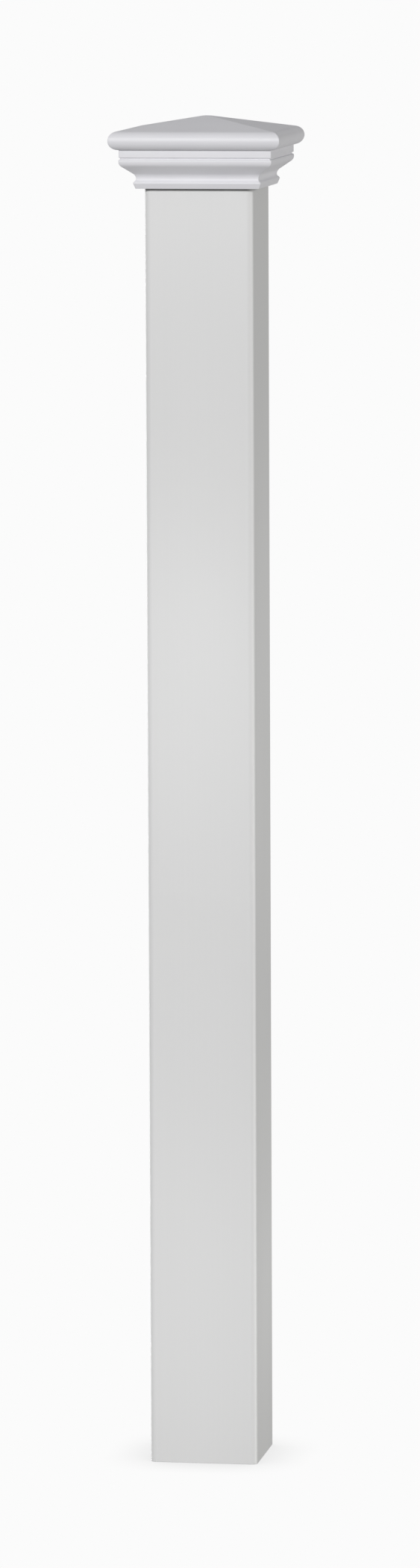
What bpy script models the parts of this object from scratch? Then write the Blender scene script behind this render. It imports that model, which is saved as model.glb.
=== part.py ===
"""Square hollow fence post with a moulded pyramid cap.

The post is an extruded tube with softly rounded long corners, sawn square at
both ends. The cap is a hollow moulding, square in plan with mitred corners:
a slanted lip, a bead, a cove, a small fillet, a groove, a flat fascia, a
bullnose rim and a shallow four-sided pyramid. It is open below, slips over
the top of the post and rests on eight inner ribs.

Metres, +Z up. The origin is the centre of the post's foot. The front faces -Y.
"""

import math

import bmesh
import bpy

# ---------------------------------------------------------------- the post
POST_WIDTH = 0.1016          # across the flats, four inches
POST_LENGTH = 1.2192         # four feet
POST_WALL = 0.0038
POST_CORNER_R = 0.006        # outer radius of the long corners
BORE_CORNER_R = 0.0008
CORNER_STEPS = 8             # flats round each outer corner

# ------------------------------------------------- the cap, from its lip up
CAP_OVERLAP = 0.0242         # how far the cap reaches down over the post
CAP_WALL = 0.0030
GAP = 0.0003                 # between the ribs' steps and the post's end

LIP_S = 0.0577               # half width at the lip's lower edge
LIP_EDGE = 0.0002            # broken edge under the lip
BEAD_S = 0.0595              # half width at the bead's nose
BEAD_Z = 0.0050              # height of that nose
BEAD_R = 0.0017
LIP_SLANT = math.radians(22) # how far the lip's face leans out from upright
COVE_S = 0.0572              # half width where the cove stands upright
COVE_Z = 0.0091
COVE_FOOT_R = 0.0028         # hollow between the bead and the cove
COVE_R = 0.0060
FILLET_S = 0.0713            # half width at the fillet's nose
FILLET_Z = 0.0253
FILLET_BAND = 0.0007         # height of the nose's upright face
FILLET_R = 0.0058            # under the nose
FILLET_TOP_R = 0.0014        # over the nose
GROOVE_S = 0.0697            # half width at the groove's bottom
GROOVE_Z = 0.0280
GROOVE_R = 0.0008            # the groove is a small round hollow
FASCIA_S = 0.0710
FASCIA_Z = 0.0289
FASCIA_EDGE = 0.0004
RIM_S = 0.0800               # half width at the rim's nose
RIM_Z = 0.0447
RIM_R = 0.0086
APEX_Z = 0.0658

# ---------------------------------------------------------- the cap's ribs
RIB_OFFSET = 0.028           # from the middle of each side
RIB_THICKNESS = 0.0024
RIB_FIT = 0.0005             # play between a rib and the post's face
RIB_FOOT_Z = 0.0050
RIB_LEAD = 0.0030            # height of the slanted lead-in
RIB_STEP_S = 0.0472          # how far in the steps reach over the post's end
RIB_NOSE_Z = 0.0275          # top of a rib over the post's end
RIB_TOP_Z = 0.0300           # where its slanted top meets the wall

ARC_STEP = math.radians(13)  # widest angle between points on a moulded arc


def arc(s, z, radius, start, end):
    """Points on an arc in the (s, z) plane, both ends included, angles in radians."""
    count = max(2, math.ceil(abs(end - start) / ARC_STEP))
    return [
        (
            s + radius * math.cos(start + (end - start) * i / count),
            z + radius * math.sin(start + (end - start) * i / count),
        )
        for i in range(count + 1)
    ]


def s_curve_angle(run, rise, radii):
    """Lean from upright of the straight that joins a hollow and a round arc.

    Both arcs start upright, run is how far the profile moves outwards, rise is
    how far it climbs and radii is the sum of the two arcs' radii.
    """
    low, high = math.radians(5), math.radians(89)
    for _ in range(60):
        lean = (low + high) / 2
        straight = (run - radii * (1 - math.cos(lean))) / math.sin(lean)
        climbed = radii * math.sin(lean) + straight * math.cos(lean)
        if climbed > rise:
            low = lean
        else:
            high = lean
    return (low + high) / 2


def bead_top():
    """Angle on the bead where the slope up to the hollow over it leaves the arc."""
    across = COVE_S + COVE_FOOT_R - (BEAD_S - BEAD_R)
    up = COVE_Z - BEAD_Z
    return math.atan2(up, across) - math.acos(
        (BEAD_R + COVE_FOOT_R) / math.hypot(across, up)
    )


def roof_angle(inset):
    """Angle on the rim's arc, inset inwards, where the pyramid's face leaves it."""
    apex = APEX_Z - inset / math.cos(math.radians(9.4))
    across, up = RIM_S - RIM_R, apex - RIM_Z
    radius = RIM_R - inset
    # The tangent from the apex (0, up) to the circle at (across, 0).
    return math.pi - math.atan2(up, across) - math.acos(radius / math.hypot(across, up))


COVE_LEAN = s_curve_angle(FILLET_S - COVE_S, FILLET_Z - COVE_Z, COVE_R + FILLET_R)


def outer_profile():
    """The cap's outside, as (half width, height), from the lip up to the rim's roof."""
    points = [(LIP_S - LIP_EDGE, 0.0), (LIP_S, LIP_EDGE)]
    # The bead: a slanted face below, a round nose, and a slope back above it.
    bead_s = BEAD_S - BEAD_R
    above = bead_top()
    points += arc(bead_s, BEAD_Z, BEAD_R, -LIP_SLANT, above)
    # The hollow over the bead ends upright at COVE_Z.
    foot = arc(
        COVE_S + COVE_FOOT_R, COVE_Z, COVE_FOOT_R, math.pi + above, math.pi
    )
    points += foot
    # The cove, its straight and the fillet above it.
    points += arc(COVE_S + COVE_R, COVE_Z, COVE_R, math.pi, math.pi - COVE_LEAN)[1:]
    points += arc(FILLET_S - FILLET_R, FILLET_Z, FILLET_R, -COVE_LEAN, 0)
    points += arc(
        FILLET_S - FILLET_TOP_R, FILLET_Z + FILLET_BAND, FILLET_TOP_R, 0, math.radians(70)
    )
    # The groove and the fascia.
    points += [
        (GROOVE_S + GROOVE_R * (1 + math.cos(a)), GROOVE_Z + GROOVE_R * math.sin(a))
        for a in (math.radians(250 - 28 * i) for i in range(6))
    ]
    points += [
        (FASCIA_S - FASCIA_EDGE, FASCIA_Z),
        (FASCIA_S, FASCIA_Z + FASCIA_EDGE),
        (FASCIA_S, RIM_Z - RIM_R),
    ]
    # The rim, round from its underside to where the pyramid's face leaves it.
    points += arc(RIM_S - RIM_R, RIM_Z, RIM_R, -math.pi / 2, 0)
    points += arc(RIM_S - RIM_R, RIM_Z, RIM_R, 0, roof_angle(0.0))[1:]
    return points


def inner_profile(inset):
    """A line that follows the cap's outside at a distance, from the lip up."""
    lean = COVE_LEAN
    radius = COVE_R + inset
    hollow = arc(COVE_S + COVE_R, COVE_Z, radius, math.pi, math.pi - lean)
    last_s, last_z = hollow[-1]
    wall_s = FASCIA_S - inset
    points = [(LIP_S - inset, 0.0)]
    points += hollow
    points += [
        (wall_s, last_z + (wall_s - last_s) / math.tan(lean)),
        (wall_s, RIM_Z - RIM_R + inset),
    ]
    points += arc(RIM_S - RIM_R, RIM_Z, RIM_R - inset, -math.pi / 2, 0)
    points += arc(RIM_S - RIM_R, RIM_Z, RIM_R - inset, 0, roof_angle(inset))[1:]
    return points


def peak(line):
    """Height of the point over the roof that the last arc of a profile meets."""
    end_s, end_z = line[-1]
    normal = math.atan2(end_z - RIM_Z, end_s - (RIM_S - RIM_R))
    return end_z + end_s / math.tan(normal)


def material(name, colour, roughness):
    made = bpy.data.materials.new(name)
    made.use_nodes = True
    shader = next(n for n in made.node_tree.nodes if n.type == "BSDF_PRINCIPLED")
    shader.inputs["Base Color"].default_value = (*colour, 1.0)
    shader.inputs["Roughness"].default_value = roughness
    shader.inputs["Metallic"].default_value = 0.0
    made.diffuse_color = (*colour, 1.0)
    return made


def add_object(name, bm, made, smooth_below=math.radians(30)):
    bmesh.ops.recalc_face_normals(bm, faces=bm.faces)
    mesh = bpy.data.meshes.new(name)
    bm.to_mesh(mesh)
    bm.free()
    mesh.shade_smooth()
    mesh.set_sharp_from_angle(angle=smooth_below)
    if made:
        mesh.materials.append(made)
    obj = bpy.data.objects.new(name, mesh)
    bpy.context.scene.collection.objects.link(obj)
    return obj


def bridge(bm, lower, upper):
    """Quads between two closed rings of the same count."""
    count = len(lower)
    for i in range(count):
        j = (i + 1) % count
        bm.faces.new((lower[i], lower[j], upper[j], upper[i]))


def rounded_square(half, radius, steps):
    """Points round a square with rounded corners."""
    points = []
    for quarter in range(4):
        turn = quarter * math.pi / 2
        c, s = round(math.cos(turn)), round(math.sin(turn))
        for i in range(steps + 1):
            a = math.pi / 2 * i / steps
            x = half - radius + radius * math.cos(a)
            y = half - radius + radius * math.sin(a)
            points.append((c * x - s * y, s * x + c * y))
    return points


def make_post(made):
    """The extruded tube, open at both ends."""
    half = POST_WIDTH / 2
    outline = rounded_square(half, POST_CORNER_R, CORNER_STEPS)
    bore = rounded_square(half - POST_WALL, BORE_CORNER_R, CORNER_STEPS)
    bm = bmesh.new()
    rings = [
        [bm.verts.new((x, y, z)) for x, y in line]
        for line, z in (
            (outline, 0.0),
            (outline, POST_LENGTH),
            (bore, POST_LENGTH),
            (bore, 0.0),
        )
    ]
    for lower, upper in zip(rings, rings[1:] + rings[:1]):
        bridge(bm, lower, upper)
    return add_object("post", bm, made)


def square_ring(bm, s, z):
    return [bm.verts.new((x * s, y * s, z)) for x, y in ((1, -1), (1, 1), (-1, 1), (-1, -1))]


def make_cap_shell(made):
    """The hollow moulding, swept round a square with mitred corners."""
    bm = bmesh.new()
    outside = outer_profile()
    inside = inner_profile(CAP_WALL)
    outer_rings = [square_ring(bm, s, z) for s, z in outside]
    inner_rings = [square_ring(bm, s, z) for s, z in inside]
    for rings in (outer_rings, inner_rings):
        for lower, upper in zip(rings, rings[1:]):
            bridge(bm, lower, upper)
    bridge(bm, outer_rings[0], inner_rings[0])
    for rings, line in ((outer_rings, outside), (inner_rings, inside)):
        apex = bm.verts.new((0.0, 0.0, peak(line)))
        top = rings[-1]
        for i in range(4):
            bm.faces.new((top[i], top[(i + 1) % 4], apex))
    return add_object("post_cap", bm, made)


def rib_outline():
    """One rib in the (s, z) plane: a centring edge, and a step over the post's end."""
    line = inner_profile(CAP_WALL / 2)
    face = POST_WIDTH / 2 + RIB_FIT
    step_z = CAP_OVERLAP + GAP
    foot_s = line[0][0] + (line[1][0] - line[0][0]) * RIB_FOOT_Z / line[1][1]
    outline = [(face + 0.0012, RIB_FOOT_Z), (foot_s, RIB_FOOT_Z)]
    outline += [(s, z) for s, z in line if RIB_FOOT_Z < z < RIB_TOP_Z]
    outline += [
        (FASCIA_S - CAP_WALL / 2, RIB_TOP_Z),
        (RIB_STEP_S, RIB_NOSE_Z),
        (RIB_STEP_S, step_z),
        (face, step_z),
        (face, RIB_FOOT_Z + RIB_LEAD),
    ]
    return outline


def make_ribs():
    """All eight ribs as one cutter-like guide, two to a side."""
    outline = rib_outline()
    bm = bmesh.new()
    for quarter in range(4):
        turn = quarter * math.pi / 2
        c, s = round(math.cos(turn)), round(math.sin(turn))
        for side in (-1, 1):
            sheets = []
            for edge in (-0.5, 0.5):
                t = side * RIB_OFFSET + edge * RIB_THICKNESS
                sheets.append(
                    [bm.verts.new((c * r - s * t, s * r + c * t, z)) for r, z in outline]
                )
            bridge(bm, *sheets)
            bm.faces.new(sheets[0])
            bm.faces.new(list(reversed(sheets[1])))
    ribs = add_object("post_cap_rib_guide", bm, None)
    ribs.hide_render = True
    ribs.display_type = "WIRE"
    return ribs


def main():
    for obj in list(bpy.data.objects):
        bpy.data.objects.remove(obj, do_unlink=True)

    post_vinyl = material("post_vinyl", (0.80, 0.80, 0.80), 0.38)
    cap_vinyl = material("cap_vinyl", (0.81, 0.81, 0.84), 0.48)

    post = make_post(post_vinyl)
    cap = make_cap_shell(cap_vinyl)
    ribs = make_ribs()
    union = cap.modifiers.new("ribs", "BOOLEAN")
    union.operation = "UNION"
    union.solver = "EXACT"
    union.object = ribs

    assembly = bpy.data.objects.new("fence_post", None)
    bpy.context.scene.collection.objects.link(assembly)
    post.parent = assembly
    cap.parent = assembly
    ribs.parent = cap
    cap.location = (0.0, 0.0, POST_LENGTH - CAP_OVERLAP)


main()
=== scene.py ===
"""Looks of the square vinyl fence post and its moulded pyramid cap.

Finer meshes stand for the two CAD solids: the post gets smooth long corners and
broken edges at its sawn ends, and the cap gets its mouldings as smooth arcs with
softened mitres, hips and point. Metres, the same frame as the CAD.
"""

import math

import bmesh
import bpy
from mathutils import Matrix, Vector


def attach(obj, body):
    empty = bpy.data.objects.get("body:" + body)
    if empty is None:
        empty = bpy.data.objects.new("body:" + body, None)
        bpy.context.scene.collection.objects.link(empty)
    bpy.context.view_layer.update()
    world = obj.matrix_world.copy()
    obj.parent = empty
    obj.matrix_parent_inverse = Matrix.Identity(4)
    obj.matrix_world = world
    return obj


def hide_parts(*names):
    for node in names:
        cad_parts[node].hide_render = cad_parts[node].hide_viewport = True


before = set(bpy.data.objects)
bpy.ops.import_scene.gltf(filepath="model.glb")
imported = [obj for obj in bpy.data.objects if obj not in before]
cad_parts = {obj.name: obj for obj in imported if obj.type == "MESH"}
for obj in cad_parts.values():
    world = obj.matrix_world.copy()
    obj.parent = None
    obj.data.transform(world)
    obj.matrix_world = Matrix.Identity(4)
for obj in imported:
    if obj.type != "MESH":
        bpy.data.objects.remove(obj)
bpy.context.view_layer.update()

# ------------------------------------------------------------------ sizes
POST_HALF = 0.0508
POST_LENGTH = 1.2192
POST_WALL = 0.0038
POST_CORNER_R = 0.006
BORE_CORNER_R = 0.0008
END_BREAK = 0.00035          # broken edges at the sawn ends

CAP_Z0 = 1.195               # the lip's lower edge
CAP_WALL = 0.0030
LIP_S, LIP_EDGE_R, LIP_SLANT = 0.0577, 0.0002, math.radians(22)
BEAD_S, BEAD_Z, BEAD_R = 0.0595, 0.0050, 0.0017
COVE_S, COVE_Z, COVE_R, COVE_FOOT_R = 0.0572, 0.0091, 0.0060, 0.0028
FILLET_S, FILLET_Z, FILLET_R, FILLET_TOP_R = 0.0713, 0.0253, 0.0058, 0.0014
FILLET_BAND = 0.0007
GROOVE_S, GROOVE_Z, GROOVE_R = 0.0697, 0.0280, 0.0008
FASCIA_S, FASCIA_Z, FASCIA_R = 0.0710, 0.0289, 0.0004
RIM_S, RIM_Z, RIM_R = 0.0800, 0.0447, 0.0086
APEX_Z, APEX_R = 0.0658, 0.030
MITRE_R = 0.0007             # softening of the mitres in plan

RIB_OFFSET, RIB_THICKNESS = 0.028, 0.0024
RIB_FACE, RIB_FOOT_Z, RIB_LEAD = 0.0513, 0.0050, 0.0030
RIB_STEP_S, RIB_STEP_Z = 0.0472, 0.0245
RIB_NOSE_Z, RIB_TOP_Z = 0.0275, 0.0300


# --------------------------------------------------------------- profiles
def arc(s, z, radius, start, end, step=math.radians(4)):
    count = max(3, math.ceil(abs(end - start) / step))
    return [
        (
            s + radius * math.cos(start + (end - start) * i / count),
            z + radius * math.sin(start + (end - start) * i / count),
        )
        for i in range(count + 1)
    ]


def s_curve_angle(run, rise, radii):
    low, high = math.radians(5), math.radians(89)
    for _ in range(60):
        lean = (low + high) / 2
        straight = (run - radii * (1 - math.cos(lean))) / math.sin(lean)
        if radii * math.sin(lean) + straight * math.cos(lean) > rise:
            low = lean
        else:
            high = lean
    return (low + high) / 2


def roof_angle(inset):
    apex = APEX_Z - inset / math.cos(math.radians(9.4))
    across, up = RIM_S - RIM_R, apex - RIM_Z
    return (
        math.pi
        - math.atan2(up, across)
        - math.acos((RIM_R - inset) / math.hypot(across, up))
    )


def bead_top():
    """Angle on the bead where the slope up to the hollow over it leaves the arc."""
    across, up = COVE_S + COVE_FOOT_R - (BEAD_S - BEAD_R), COVE_Z - BEAD_Z
    return math.atan2(up, across) - math.acos(
        (BEAD_R + COVE_FOOT_R) / math.hypot(across, up)
    )


COVE_LEAN = s_curve_angle(FILLET_S - COVE_S, FILLET_Z - COVE_Z, COVE_R + FILLET_R)


def spread(points, gap=0.0004, longest=0.012):
    """Adds points beside the ends of long straights, so smooth shading stays on the arcs."""
    out = [points[0]]
    for a, b in zip(points, points[1:]):
        length = math.dist(a, b)
        if length > 4 * gap:
            marks = [gap / length]
            runs = math.ceil((length - 2 * gap) / longest)
            marks += [
                (gap + (length - 2 * gap) * i / runs) / length for i in range(1, runs)
            ]
            marks += [1 - gap / length]
            out += [(a[0] + (b[0] - a[0]) * m, a[1] + (b[1] - a[1]) * m) for m in marks]
        out.append(b)
    return out


def outer_line():
    points = arc(
        LIP_S - LIP_EDGE_R, LIP_EDGE_R, LIP_EDGE_R, -math.pi / 2, -LIP_SLANT,
        math.radians(15),
    )
    above = bead_top()
    points += arc(BEAD_S - BEAD_R, BEAD_Z, BEAD_R, -LIP_SLANT, above, math.radians(6))
    points += arc(
        COVE_S + COVE_FOOT_R, COVE_Z, COVE_FOOT_R, math.pi + above, math.pi
    )
    points += arc(COVE_S + COVE_R, COVE_Z, COVE_R, math.pi, math.pi - COVE_LEAN)[1:]
    points += arc(FILLET_S - FILLET_R, FILLET_Z, FILLET_R, -COVE_LEAN, 0)
    points += arc(
        FILLET_S - FILLET_TOP_R, FILLET_Z + FILLET_BAND, FILLET_TOP_R, 0,
        math.radians(70), math.radians(7),
    )
    # The groove: a small round hollow between the fillet and the fascia.
    points += arc(
        GROOVE_S + GROOVE_R, GROOVE_Z, GROOVE_R, math.radians(250), math.radians(110),
        math.radians(20),
    )
    points += arc(
        FASCIA_S - FASCIA_R, FASCIA_Z + FASCIA_R, FASCIA_R, math.radians(-80), 0,
        math.radians(16),
    )
    points += [(FASCIA_S, RIM_Z - RIM_R)]
    rim_s = RIM_S - RIM_R
    points += arc(rim_s, RIM_Z, RIM_R, -math.pi / 2, 0)
    points += arc(rim_s, RIM_Z, RIM_R, 0, roof_angle(0.0))[1:]
    # The roof runs up to a softened point.
    slope = math.pi / 2 - roof_angle(0.0)
    end_s, end_z = points[-1]
    apex = end_z + end_s * math.tan(slope)
    flat_s = APEX_R * math.sin(slope)
    centre = apex - flat_s * math.tan(slope) - APEX_R * math.cos(slope)
    round_top = [
        (APEX_R * math.sin(a), centre + APEX_R * math.cos(a))
        for a in (slope * (1 - i / 6) for i in range(6))
    ]
    return spread(points + round_top), centre + APEX_R


def inner_line(inset):
    hollow = arc(
        COVE_S + COVE_R, COVE_Z, COVE_R + inset, math.pi, math.pi - COVE_LEAN,
        math.radians(8),
    )
    last_s, last_z = hollow[-1]
    wall_s = FASCIA_S - inset
    points = [(LIP_S - inset, 0.0)]
    points += hollow
    points += [
        (wall_s, last_z + (wall_s - last_s) / math.tan(COVE_LEAN)),
        (wall_s, RIM_Z - RIM_R + inset),
    ]
    points += arc(
        RIM_S - RIM_R, RIM_Z, RIM_R - inset, -math.pi / 2, roof_angle(inset),
        math.radians(8),
    )
    return points


def roof_height(line, s):
    end_s, end_z = line[-1]
    normal = math.atan2(end_z - RIM_Z, end_s - (RIM_S - RIM_R))
    return end_z + (end_s - s) / math.tan(normal)


# ------------------------------------------------------------ mesh helpers
def square_outline(half, radius, steps, runs, guard=0.0005):
    """Points round a rounded square, with a guard point beside each corner arc."""
    radius = max(min(radius, half * 0.9), 1e-6)
    guard = min(guard, (half - radius) * 0.3)
    flat = 2 * (half - radius)
    points = []
    for quarter in range(4):
        turn = quarter * math.pi / 2
        c, s = round(math.cos(turn)), round(math.sin(turn))
        side = []
        # Up the +X side, then round its corner towards +Y.
        for i in range(runs + 1):
            y = -flat / 2 + guard + (flat - 2 * guard) * i / runs
            side.append((half, y))
        for i in range(steps + 1):
            a = math.pi / 2 * i / steps
            side.append(
                (half - radius + radius * math.cos(a), half - radius + radius * math.sin(a))
            )
        points += [(c * x - s * y, s * x + c * y) for x, y in side]
    return points


def ring(bm, outline, z):
    return [bm.verts.new((x, y, z)) for x, y in outline]


def bridge(bm, lower, upper):
    count = len(lower)
    for i in range(count):
        j = (i + 1) % count
        bm.faces.new((lower[i], lower[j], upper[j], upper[i]))


def finish_mesh(name, bm, sharp=math.radians(40)):
    bmesh.ops.recalc_face_normals(bm, faces=bm.faces)
    mesh = bpy.data.meshes.new(name)
    bm.to_mesh(mesh)
    bm.free()
    mesh.shade_smooth()
    mesh.set_sharp_from_angle(angle=sharp)
    obj = bpy.data.objects.new(name, mesh)
    bpy.context.scene.collection.objects.link(obj)
    return obj


# -------------------------------------------------------------- the pieces
def make_post():
    """The extruded tube, with its sawn ends' edges just broken."""
    steps = 18
    wide, bore = POST_HALF, POST_HALF - POST_WALL
    bore_r = BORE_CORNER_R
    b = END_BREAK

    def outside(inset=0.0):
        return square_outline(wide - inset, POST_CORNER_R - inset, steps, 15)

    def inside(inset=0.0):
        return square_outline(bore + inset, bore_r + inset, steps, 15)

    heights = [b, b + 0.0006]
    rows = 24
    heights += [
        0.004 + (POST_LENGTH - 0.008) * i / rows for i in range(rows + 1)
    ]
    heights += [POST_LENGTH - b - 0.0006, POST_LENGTH - b]
    bm = bmesh.new()
    rings = [ring(bm, outside(b), 0.0)]
    rings += [ring(bm, outside(), z) for z in heights]
    rings += [ring(bm, outside(b), POST_LENGTH), ring(bm, inside(b), POST_LENGTH)]
    rings += [ring(bm, inside(), z) for z in reversed(heights)]
    rings += [ring(bm, inside(b), 0.0)]
    for lower, upper in zip(rings, rings[1:] + rings[:1]):
        bridge(bm, lower, upper)
    return finish_mesh("post_tube", bm, math.radians(30))


def rib_outline():
    line = inner_line(CAP_WALL / 2)
    foot_s = line[0][0] + (line[1][0] - line[0][0]) * RIB_FOOT_Z / line[1][1]
    outline = [(RIB_FACE + 0.0012, RIB_FOOT_Z), (foot_s, RIB_FOOT_Z)]
    outline += [(s, z) for s, z in line if RIB_FOOT_Z < z < RIB_TOP_Z]
    outline += [
        (FASCIA_S - CAP_WALL / 2, RIB_TOP_Z),
        (RIB_STEP_S, RIB_NOSE_Z),
        (RIB_STEP_S, RIB_STEP_Z),
        (RIB_FACE, RIB_STEP_Z),
        (RIB_FACE, RIB_FOOT_Z + RIB_LEAD),
    ]
    return outline


def make_ribs():
    outline = rib_outline()
    bm = bmesh.new()
    for quarter in range(4):
        turn = quarter * math.pi / 2
        c, s = round(math.cos(turn)), round(math.sin(turn))
        for side in (-1, 1):
            sheets = []
            for edge in (-0.5, 0.5):
                t = side * RIB_OFFSET + edge * RIB_THICKNESS
                sheets.append(
                    [
                        bm.verts.new((c * r - s * t, s * r + c * t, CAP_Z0 + z))
                        for r, z in outline
                    ]
                )
            bridge(bm, *sheets)
            bm.faces.new(sheets[0])
            bm.faces.new(list(reversed(sheets[1])))
    return finish_mesh("cap_rib_guide", bm)


def make_cap():
    """The hollow moulding: smooth arcs, softened mitres, eight inner ribs."""
    outside, top_z = outer_line()
    inside = inner_line(CAP_WALL)
    steps = 6
    bm = bmesh.new()
    outer = [
        ring(bm, square_outline(s, MITRE_R, steps, 4, 0.0006), CAP_Z0 + z)
        for s, z in outside
    ]
    inner = [
        ring(bm, square_outline(s, MITRE_R, steps, 4, 0.0006), CAP_Z0 + z)
        for s, z in inside
    ]
    for rings in (outer, inner):
        for lower, upper in zip(rings, rings[1:]):
            bridge(bm, lower, upper)
    bridge(bm, outer[0], inner[0])
    for rings, z in ((outer, top_z), (inner, roof_height(inside, 0.0))):
        point = bm.verts.new((0.0, 0.0, CAP_Z0 + z))
        last = rings[-1]
        for i in range(len(last)):
            bm.faces.new((last[i], last[(i + 1) % len(last)], point))
    cap = finish_mesh("cap_moulding", bm, math.radians(38))
    ribs = make_ribs()
    union = cap.modifiers.new("ribs", "BOOLEAN")
    union.operation = "UNION"
    union.solver = "EXACT"
    union.object = ribs
    bpy.context.view_layer.update()
    graph = bpy.context.evaluated_depsgraph_get()
    joined = bpy.data.meshes.new_from_object(cap.evaluated_get(graph))
    cap.modifiers.clear()
    cap.data = joined
    joined.name = "cap_moulding"
    bpy.data.objects.remove(ribs, do_unlink=True)
    return cap


# --------------------------------------------------------------- materials
class Graph:
    """Short calls for building one material's nodes."""

    def __init__(self, name):
        self.material = bpy.data.materials.new(name)
        self.material.use_nodes = True
        self.tree = self.material.node_tree
        self.tree.nodes.clear()
        self.out = self.node("ShaderNodeOutputMaterial")
        self.shader = self.node("ShaderNodeBsdfPrincipled")
        self.link(self.shader.outputs[0], self.out.inputs["Surface"])
        self.coords = self.node("ShaderNodeTexCoord").outputs["Object"]

    def node(self, kind, **values):
        made = self.tree.nodes.new(kind)
        for key, value in values.items():
            setattr(made, key, value)
        return made

    def link(self, a, b):
        self.tree.links.new(a, b)

    def noise(self, scale, stretch=(1, 1, 1), detail=2.0, rough=0.5, shift=(0, 0, 0)):
        place = self.node("ShaderNodeMapping")
        place.inputs["Location"].default_value = shift
        place.inputs["Scale"].default_value = stretch
        self.link(self.coords, place.inputs["Vector"])
        made = self.node("ShaderNodeTexNoise", noise_dimensions="3D")
        made.inputs["Scale"].default_value = scale
        made.inputs["Detail"].default_value = detail
        made.inputs["Roughness"].default_value = rough
        self.link(place.outputs[0], made.inputs["Vector"])
        return made.outputs["Fac"]

    def span(self, value, low, high, to_low, to_high):
        made = self.node("ShaderNodeMapRange", clamp=True)
        made.inputs["From Min"].default_value = low
        made.inputs["From Max"].default_value = high
        made.inputs["To Min"].default_value = to_low
        made.inputs["To Max"].default_value = to_high
        self.link(value, made.inputs["Value"])
        return made.outputs[0]

    def math(self, operation, a, b=None):
        made = self.node("ShaderNodeMath", operation=operation)
        for socket, value in zip(made.inputs, (a, b)):
            if value is None:
                continue
            if isinstance(value, (int, float)):
                socket.default_value = value
            else:
                self.link(value, socket)
        return made.outputs[0]

    def mix(self, factor, a, b, blend="MIX"):
        made = self.node("ShaderNodeMix", data_type="RGBA", blend_type=blend)
        for socket, value in (
            (made.inputs["Factor"], factor),
            (made.inputs[6], a),
            (made.inputs[7], b),
        ):
            if isinstance(value, (int, float)):
                socket.default_value = value
            elif isinstance(value, tuple):
                socket.default_value = (*value, 1.0)
            else:
                self.link(value, socket)
        return made.outputs[2]

    def bump(self, height, distance, strength=1.0, normal=None):
        made = self.node("ShaderNodeBump")
        made.inputs["Strength"].default_value = strength
        made.inputs["Distance"].default_value = distance
        self.link(height, made.inputs["Height"])
        if normal is not None:
            self.link(normal, made.inputs["Normal"])
        return made.outputs[0]


def post_vinyl():
    """Extruded satin PVC: fine lines along the length, a faint grain, soft clouds."""
    g = Graph("post_vinyl")
    clouds = g.noise(4.5, (1.0, 1.0, 0.45), 2.0, 0.45, (0.3, 0.1, 0.7))
    lines = g.noise(330.0, (1.0, 1.0, 0.0015), 3.0, 0.6)
    broad = g.noise(60.0, (1.0, 1.0, 0.01), 1.0, 0.4)
    grain = g.noise(2400.0, (1.0, 1.0, 0.6), 2.0, 0.55)
    tone = g.mix(
        g.span(clouds, 0.35, 0.65, 0.0, 1.0), (0.790, 0.791, 0.789), (0.810, 0.810, 0.809)
    )
    tone = g.mix(g.span(lines, 0.3, 0.7, 0.0, 0.035), tone, (0.62, 0.62, 0.60))
    # The sawn ends are duller and a little chalky.
    normal = g.node("ShaderNodeNewGeometry").outputs["Normal"]
    split = g.node("ShaderNodeSeparateXYZ")
    g.link(normal, split.inputs[0])
    ends = g.span(g.math("ABSOLUTE", split.outputs["Z"]), 0.6, 0.9, 0.0, 1.0)
    saw = g.noise(900.0, (1.0, 0.05, 1.0), 2.0, 0.6)
    tone = g.mix(ends, tone, g.mix(saw, (0.70, 0.70, 0.68), (0.80, 0.80, 0.79)))
    # Painted shade: a thin dark line on the post right under the cap's lip, where the lip casts its
    # shadow.
    height = g.node("ShaderNodeSeparateXYZ")
    g.link(g.coords, height.inputs[0])
    below = g.span(height.outputs["Z"], CAP_Z0 - 0.0023, CAP_Z0 - 0.0011, 0.0, 1.0)
    above = g.span(height.outputs["Z"], CAP_Z0, CAP_Z0 + 0.0012, 0.55, 0.0)
    tone = g.mix(g.math("MULTIPLY", below, above), tone, (0.05, 0.05, 0.05))
    g.link(tone, g.shader.inputs["Base Color"])
    gloss = g.math("ADD", g.span(clouds, 0.3, 0.7, 0.36, 0.42), g.span(lines, 0.3, 0.7, -0.02, 0.03))
    gloss = g.math("MAXIMUM", gloss, g.math("MULTIPLY", ends, 0.62))
    g.link(gloss, g.shader.inputs["Roughness"])
    normal = g.bump(broad, 0.00012)
    normal = g.bump(lines, 0.00003, 1.0, normal)
    normal = g.bump(grain, 0.000006, 1.0, normal)
    g.link(normal, g.shader.inputs["Normal"])
    g.shader.inputs["IOR"].default_value = 1.53
    g.shader.inputs["Metallic"].default_value = 0.0
    return g.material


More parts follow.
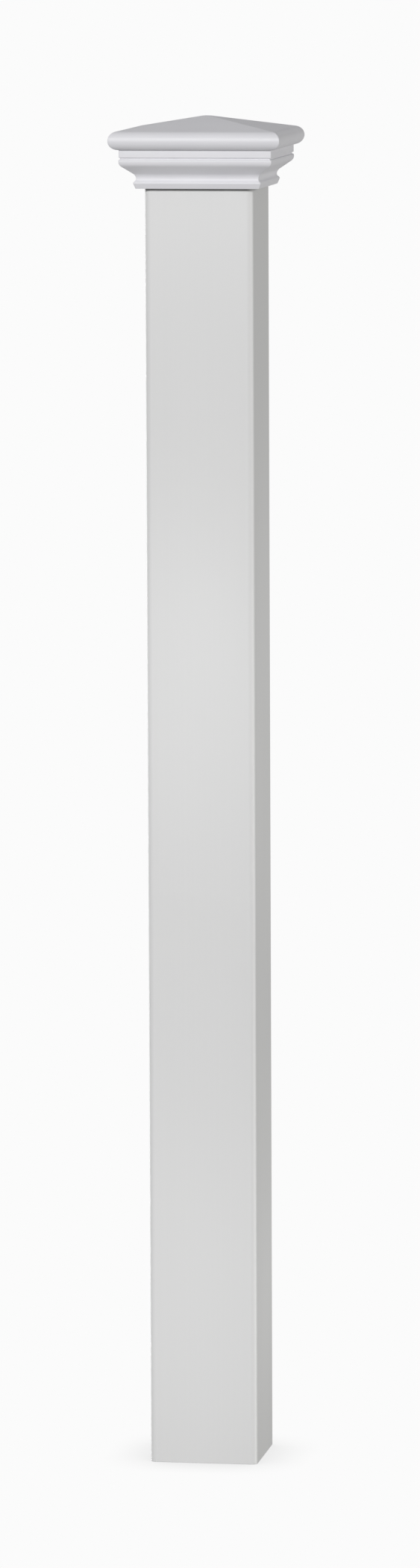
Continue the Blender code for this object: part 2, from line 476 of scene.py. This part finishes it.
def cap_vinyl():
    """Moulded PVC: cooler and a little duller, with a very fine moulded skin."""
    g = Graph("cap_vinyl")
    clouds = g.noise(22.0, (1.0, 1.0, 1.0), 2.0, 0.45, (0.2, 0.4, 0.1))
    skin = g.noise(700.0, (1.0, 1.0, 1.0), 2.0, 0.5)
    grain = g.noise(3200.0, (1.0, 1.0, 1.0), 2.0, 0.5)
    tone = g.mix(
        g.span(clouds, 0.35, 0.65, 0.0, 1.0), (0.812, 0.808, 0.842), (0.828, 0.825, 0.856)
    )
    g.link(tone, g.shader.inputs["Base Color"])
    gloss = g.math("ADD", g.span(clouds, 0.3, 0.7, 0.46, 0.51), g.span(skin, 0.3, 0.7, -0.02, 0.02))
    # A fine moulded skin scatters the light that only grazes it, so no glare runs over the roof.
    facing = g.node("ShaderNodeLayerWeight")
    facing.inputs["Blend"].default_value = 0.5
    graze = g.span(facing.outputs["Facing"], 0.30, 0.58, 0.0, 0.95)
    gloss = g.math("MAXIMUM", gloss, graze)
    g.link(gloss, g.shader.inputs["Roughness"])
    normal = g.bump(skin, 0.00002)
    normal = g.bump(grain, 0.000004, 1.0, normal)
    g.link(normal, g.shader.inputs["Normal"])
    g.shader.inputs["IOR"].default_value = 1.53
    g.shader.inputs["Metallic"].default_value = 0.0
    return g.material


# ------------------------------------------------------------------ studio
def make_studio():
    """A pale round floor that sweeps up into a pale dome, and soft even light."""
    radius, sweep, top = 33.0, 8.0, 33.0
    profile = [(0.0001, 0.0)] + [(r, 0.0) for r in (0.5, 1, 2, 4, 8, 16, radius - sweep)]
    profile += [
        (radius - sweep + sweep * math.sin(a), sweep - sweep * math.cos(a))
        for a in (math.pi / 2 * i / 12 for i in range(1, 13))
    ]
    profile += [
        (radius * math.cos(a), sweep + (top - sweep) * math.sin(a))
        for a in (math.pi / 2 * i / 16 for i in range(1, 16))
    ]
    bm = bmesh.new()
    rings = []
    count = 96
    for r, z in profile:
        rings.append(
            [
                bm.verts.new(
                    (r * math.cos(2 * math.pi * i / count), r * math.sin(2 * math.pi * i / count), z)
                )
                for i in range(count)
            ]
        )
    for lower, upper in zip(rings, rings[1:]):
        bridge(bm, lower, upper)
    bm.faces.new(rings[0])
    bm.faces.new(rings[-1])
    mesh = bpy.data.meshes.new("studio_floor")
    bm.to_mesh(mesh)
    bm.free()
    mesh.shade_smooth()
    floor = bpy.data.objects.new("studio_floor", mesh)
    bpy.context.scene.collection.objects.link(floor)
    # The floor lies a hair under the post's foot, so that the two don't flicker.
    floor.location.z = -0.0002
    floor.visible_diffuse = False
    floor.visible_glossy = False
    floor.visible_shadow = False

    made = bpy.data.materials.new("studio_floor")
    made.use_nodes = True
    tree = made.node_tree
    tree.nodes.clear()
    out = tree.nodes.new("ShaderNodeOutputMaterial")
    glow = tree.nodes.new("ShaderNodeEmission")
    # An even pale tone, with a faint soft shade where the foot meets the floor.
    near = tree.nodes.new("ShaderNodeAmbientOcclusion")
    near.samples = 24
    near.inputs["Distance"].default_value = FLOOR_SHADE_REACH
    shade = tree.nodes.new("ShaderNodeMapRange")
    shade.inputs["From Min"].default_value = 0.5
    shade.inputs["From Max"].default_value = 1.0
    shade.inputs["To Min"].default_value = FLOOR_TONE * (1 - FLOOR_SHADE)
    shade.inputs["To Max"].default_value = FLOOR_TONE
    link = tree.links.new
    link(near.outputs["AO"], shade.inputs["Value"])
    link(shade.outputs[0], glow.inputs["Strength"])
    link(glow.outputs[0], out.inputs["Surface"])
    mesh.materials.append(made)

    world = bpy.data.worlds.new("studio_light")
    world.use_nodes = True
    back = next(n for n in world.node_tree.nodes if n.type == "BACKGROUND")
    back.inputs["Color"].default_value = (1.0, 1.0, 1.0, 1.0)
    back.inputs["Strength"].default_value = WORLD
    bpy.context.scene.world = world

    def sun(name, azimuth, elevation, strength, angle):
        """Even light from a wide, distant softbox; azimuth 0 is in front, 90 is at +X."""
        lamp = bpy.data.lights.new(name, "SUN")
        lamp.energy = strength
        lamp.angle = math.radians(angle)
        obj = bpy.data.objects.new(name, lamp)
        bpy.context.scene.collection.objects.link(obj)
        a, e = math.radians(azimuth), math.radians(elevation)
        towards = Vector((math.sin(a) * math.cos(e), -math.cos(a) * math.cos(e), math.sin(e)))
        obj.rotation_mode = "QUATERNION"
        obj.rotation_quaternion = towards.to_track_quat("Z", "Y")
        obj.location = towards * 5
        return obj

    sun("key_light", *KEY)
    sun("side_light", *SIDE).data.color = SIDE_TINT
    sun("back_light", *BACK)

    for n, (azimuth, height, radius, strength) in enumerate(POOLS):
        lamp = bpy.data.lights.new(f"pool_light_{n}", "SPOT")
        lamp.shadow_soft_size = 0.15
        a = math.radians(azimuth)
        aim = Vector((0.0, 0.0, height))
        place = aim + Vector((5.1 * math.sin(a), -5.1 * math.cos(a), 1.95))
        far = (place - aim).length
        lamp.spot_size = 2 * math.atan(radius / far)
        lamp.spot_blend = 1.0
        lamp.energy = strength * 4 * math.pi * far * far
        obj = bpy.data.objects.new(f"pool_light_{n}", lamp)
        obj.location = place
        obj.rotation_mode = "QUATERNION"
        obj.rotation_quaternion = (place - aim).to_track_quat("Z", "Y")
        obj.visible_camera = False
        bpy.context.scene.collection.objects.link(obj)


FLOOR_TONE, FLOOR_SHADE, FLOOR_SHADE_REACH = 0.965, 0.13, 0.05
WORLD = 0.268
KEY = (-10.0, 17.5, 1.065, 2.5)      # azimuth, elevation, strength, softness in degrees
SIDE = (90.0, -15.0, 0.836, 30.0)    # low, as if thrown back up by the pale floor
SIDE_TINT = (1.0, 0.995, 0.955)
BACK = (222.0, 2.0, 1.0, 40.0)
# Soft pools of light: azimuth, height on the post, radius in metres, strength.
POOLS = (
    (-10.0, 1.22, 0.38, 0.82),
    (-10.0, 0.78, 0.22, 0.345),
    (-10.0, 0.70, 0.27, 0.735),
    (-10.0, 0.22, 0.28, 0.06),
    (-10.0, 0.20, 0.45, 0.645),
    (-10.0, 0.05, 0.30, 0.185),
    (115.0, 1.02, 0.35, 0.12),
    (115.0, 0.15, 0.75, 0.13),
    (115.0, 0.65, 0.35, 0.455),
    (115.0, 0.15, 0.22, 0.74),
)


def make_camera():
    """The photograph's viewpoint: 1.2 m to the right, 7.6 m in front, 1.55 m up."""
    place = Vector((1.2081, -7.5557, 1.5530))
    yaw, pitch, roll = (math.radians(v) for v in (9.080, -6.832, -0.235))
    focal_px = 11029.5
    forward = Vector(
        (-math.sin(yaw) * math.cos(pitch), math.cos(yaw) * math.cos(pitch), math.sin(pitch))
    )
    right = Vector((math.cos(yaw), math.sin(yaw), 0.0))
    up = right.cross(forward)
    across = right * math.cos(roll) + up * math.sin(roll)
    upward = up * math.cos(roll) - right * math.sin(roll)
    data = bpy.data.cameras.new("camera")
    data.sensor_width = 36.0
    data.lens = 36.0 * focal_px / 2100
    data.clip_start, data.clip_end = 0.1, 200.0
    cam = bpy.data.objects.new("camera", data)
    bpy.context.scene.collection.objects.link(cam)
    cam.matrix_world = Matrix(
        (
            (across.x, upward.x, -forward.x, place.x),
            (across.y, upward.y, -forward.y, place.y),
            (across.z, upward.z, -forward.z, place.z),
            (0.0, 0.0, 0.0, 1.0),
        )
    )
    bpy.context.scene.camera = cam


def main():
    make_camera()
    make_studio()
    scene = bpy.context.scene
    scene.view_settings.view_transform = "Standard"
    scene.view_settings.look = "None"
    scene.view_settings.exposure = 0.0
    scene.view_settings.gamma = 1.0

    post = make_post()
    post.data.materials.append(post_vinyl())
    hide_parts("post")
    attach(post, "root")

    cap = make_cap()
    cap.data.materials.clear()
    cap.data.materials.append(cap_vinyl())
    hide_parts("post_cap")
    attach(cap, "root")


main()
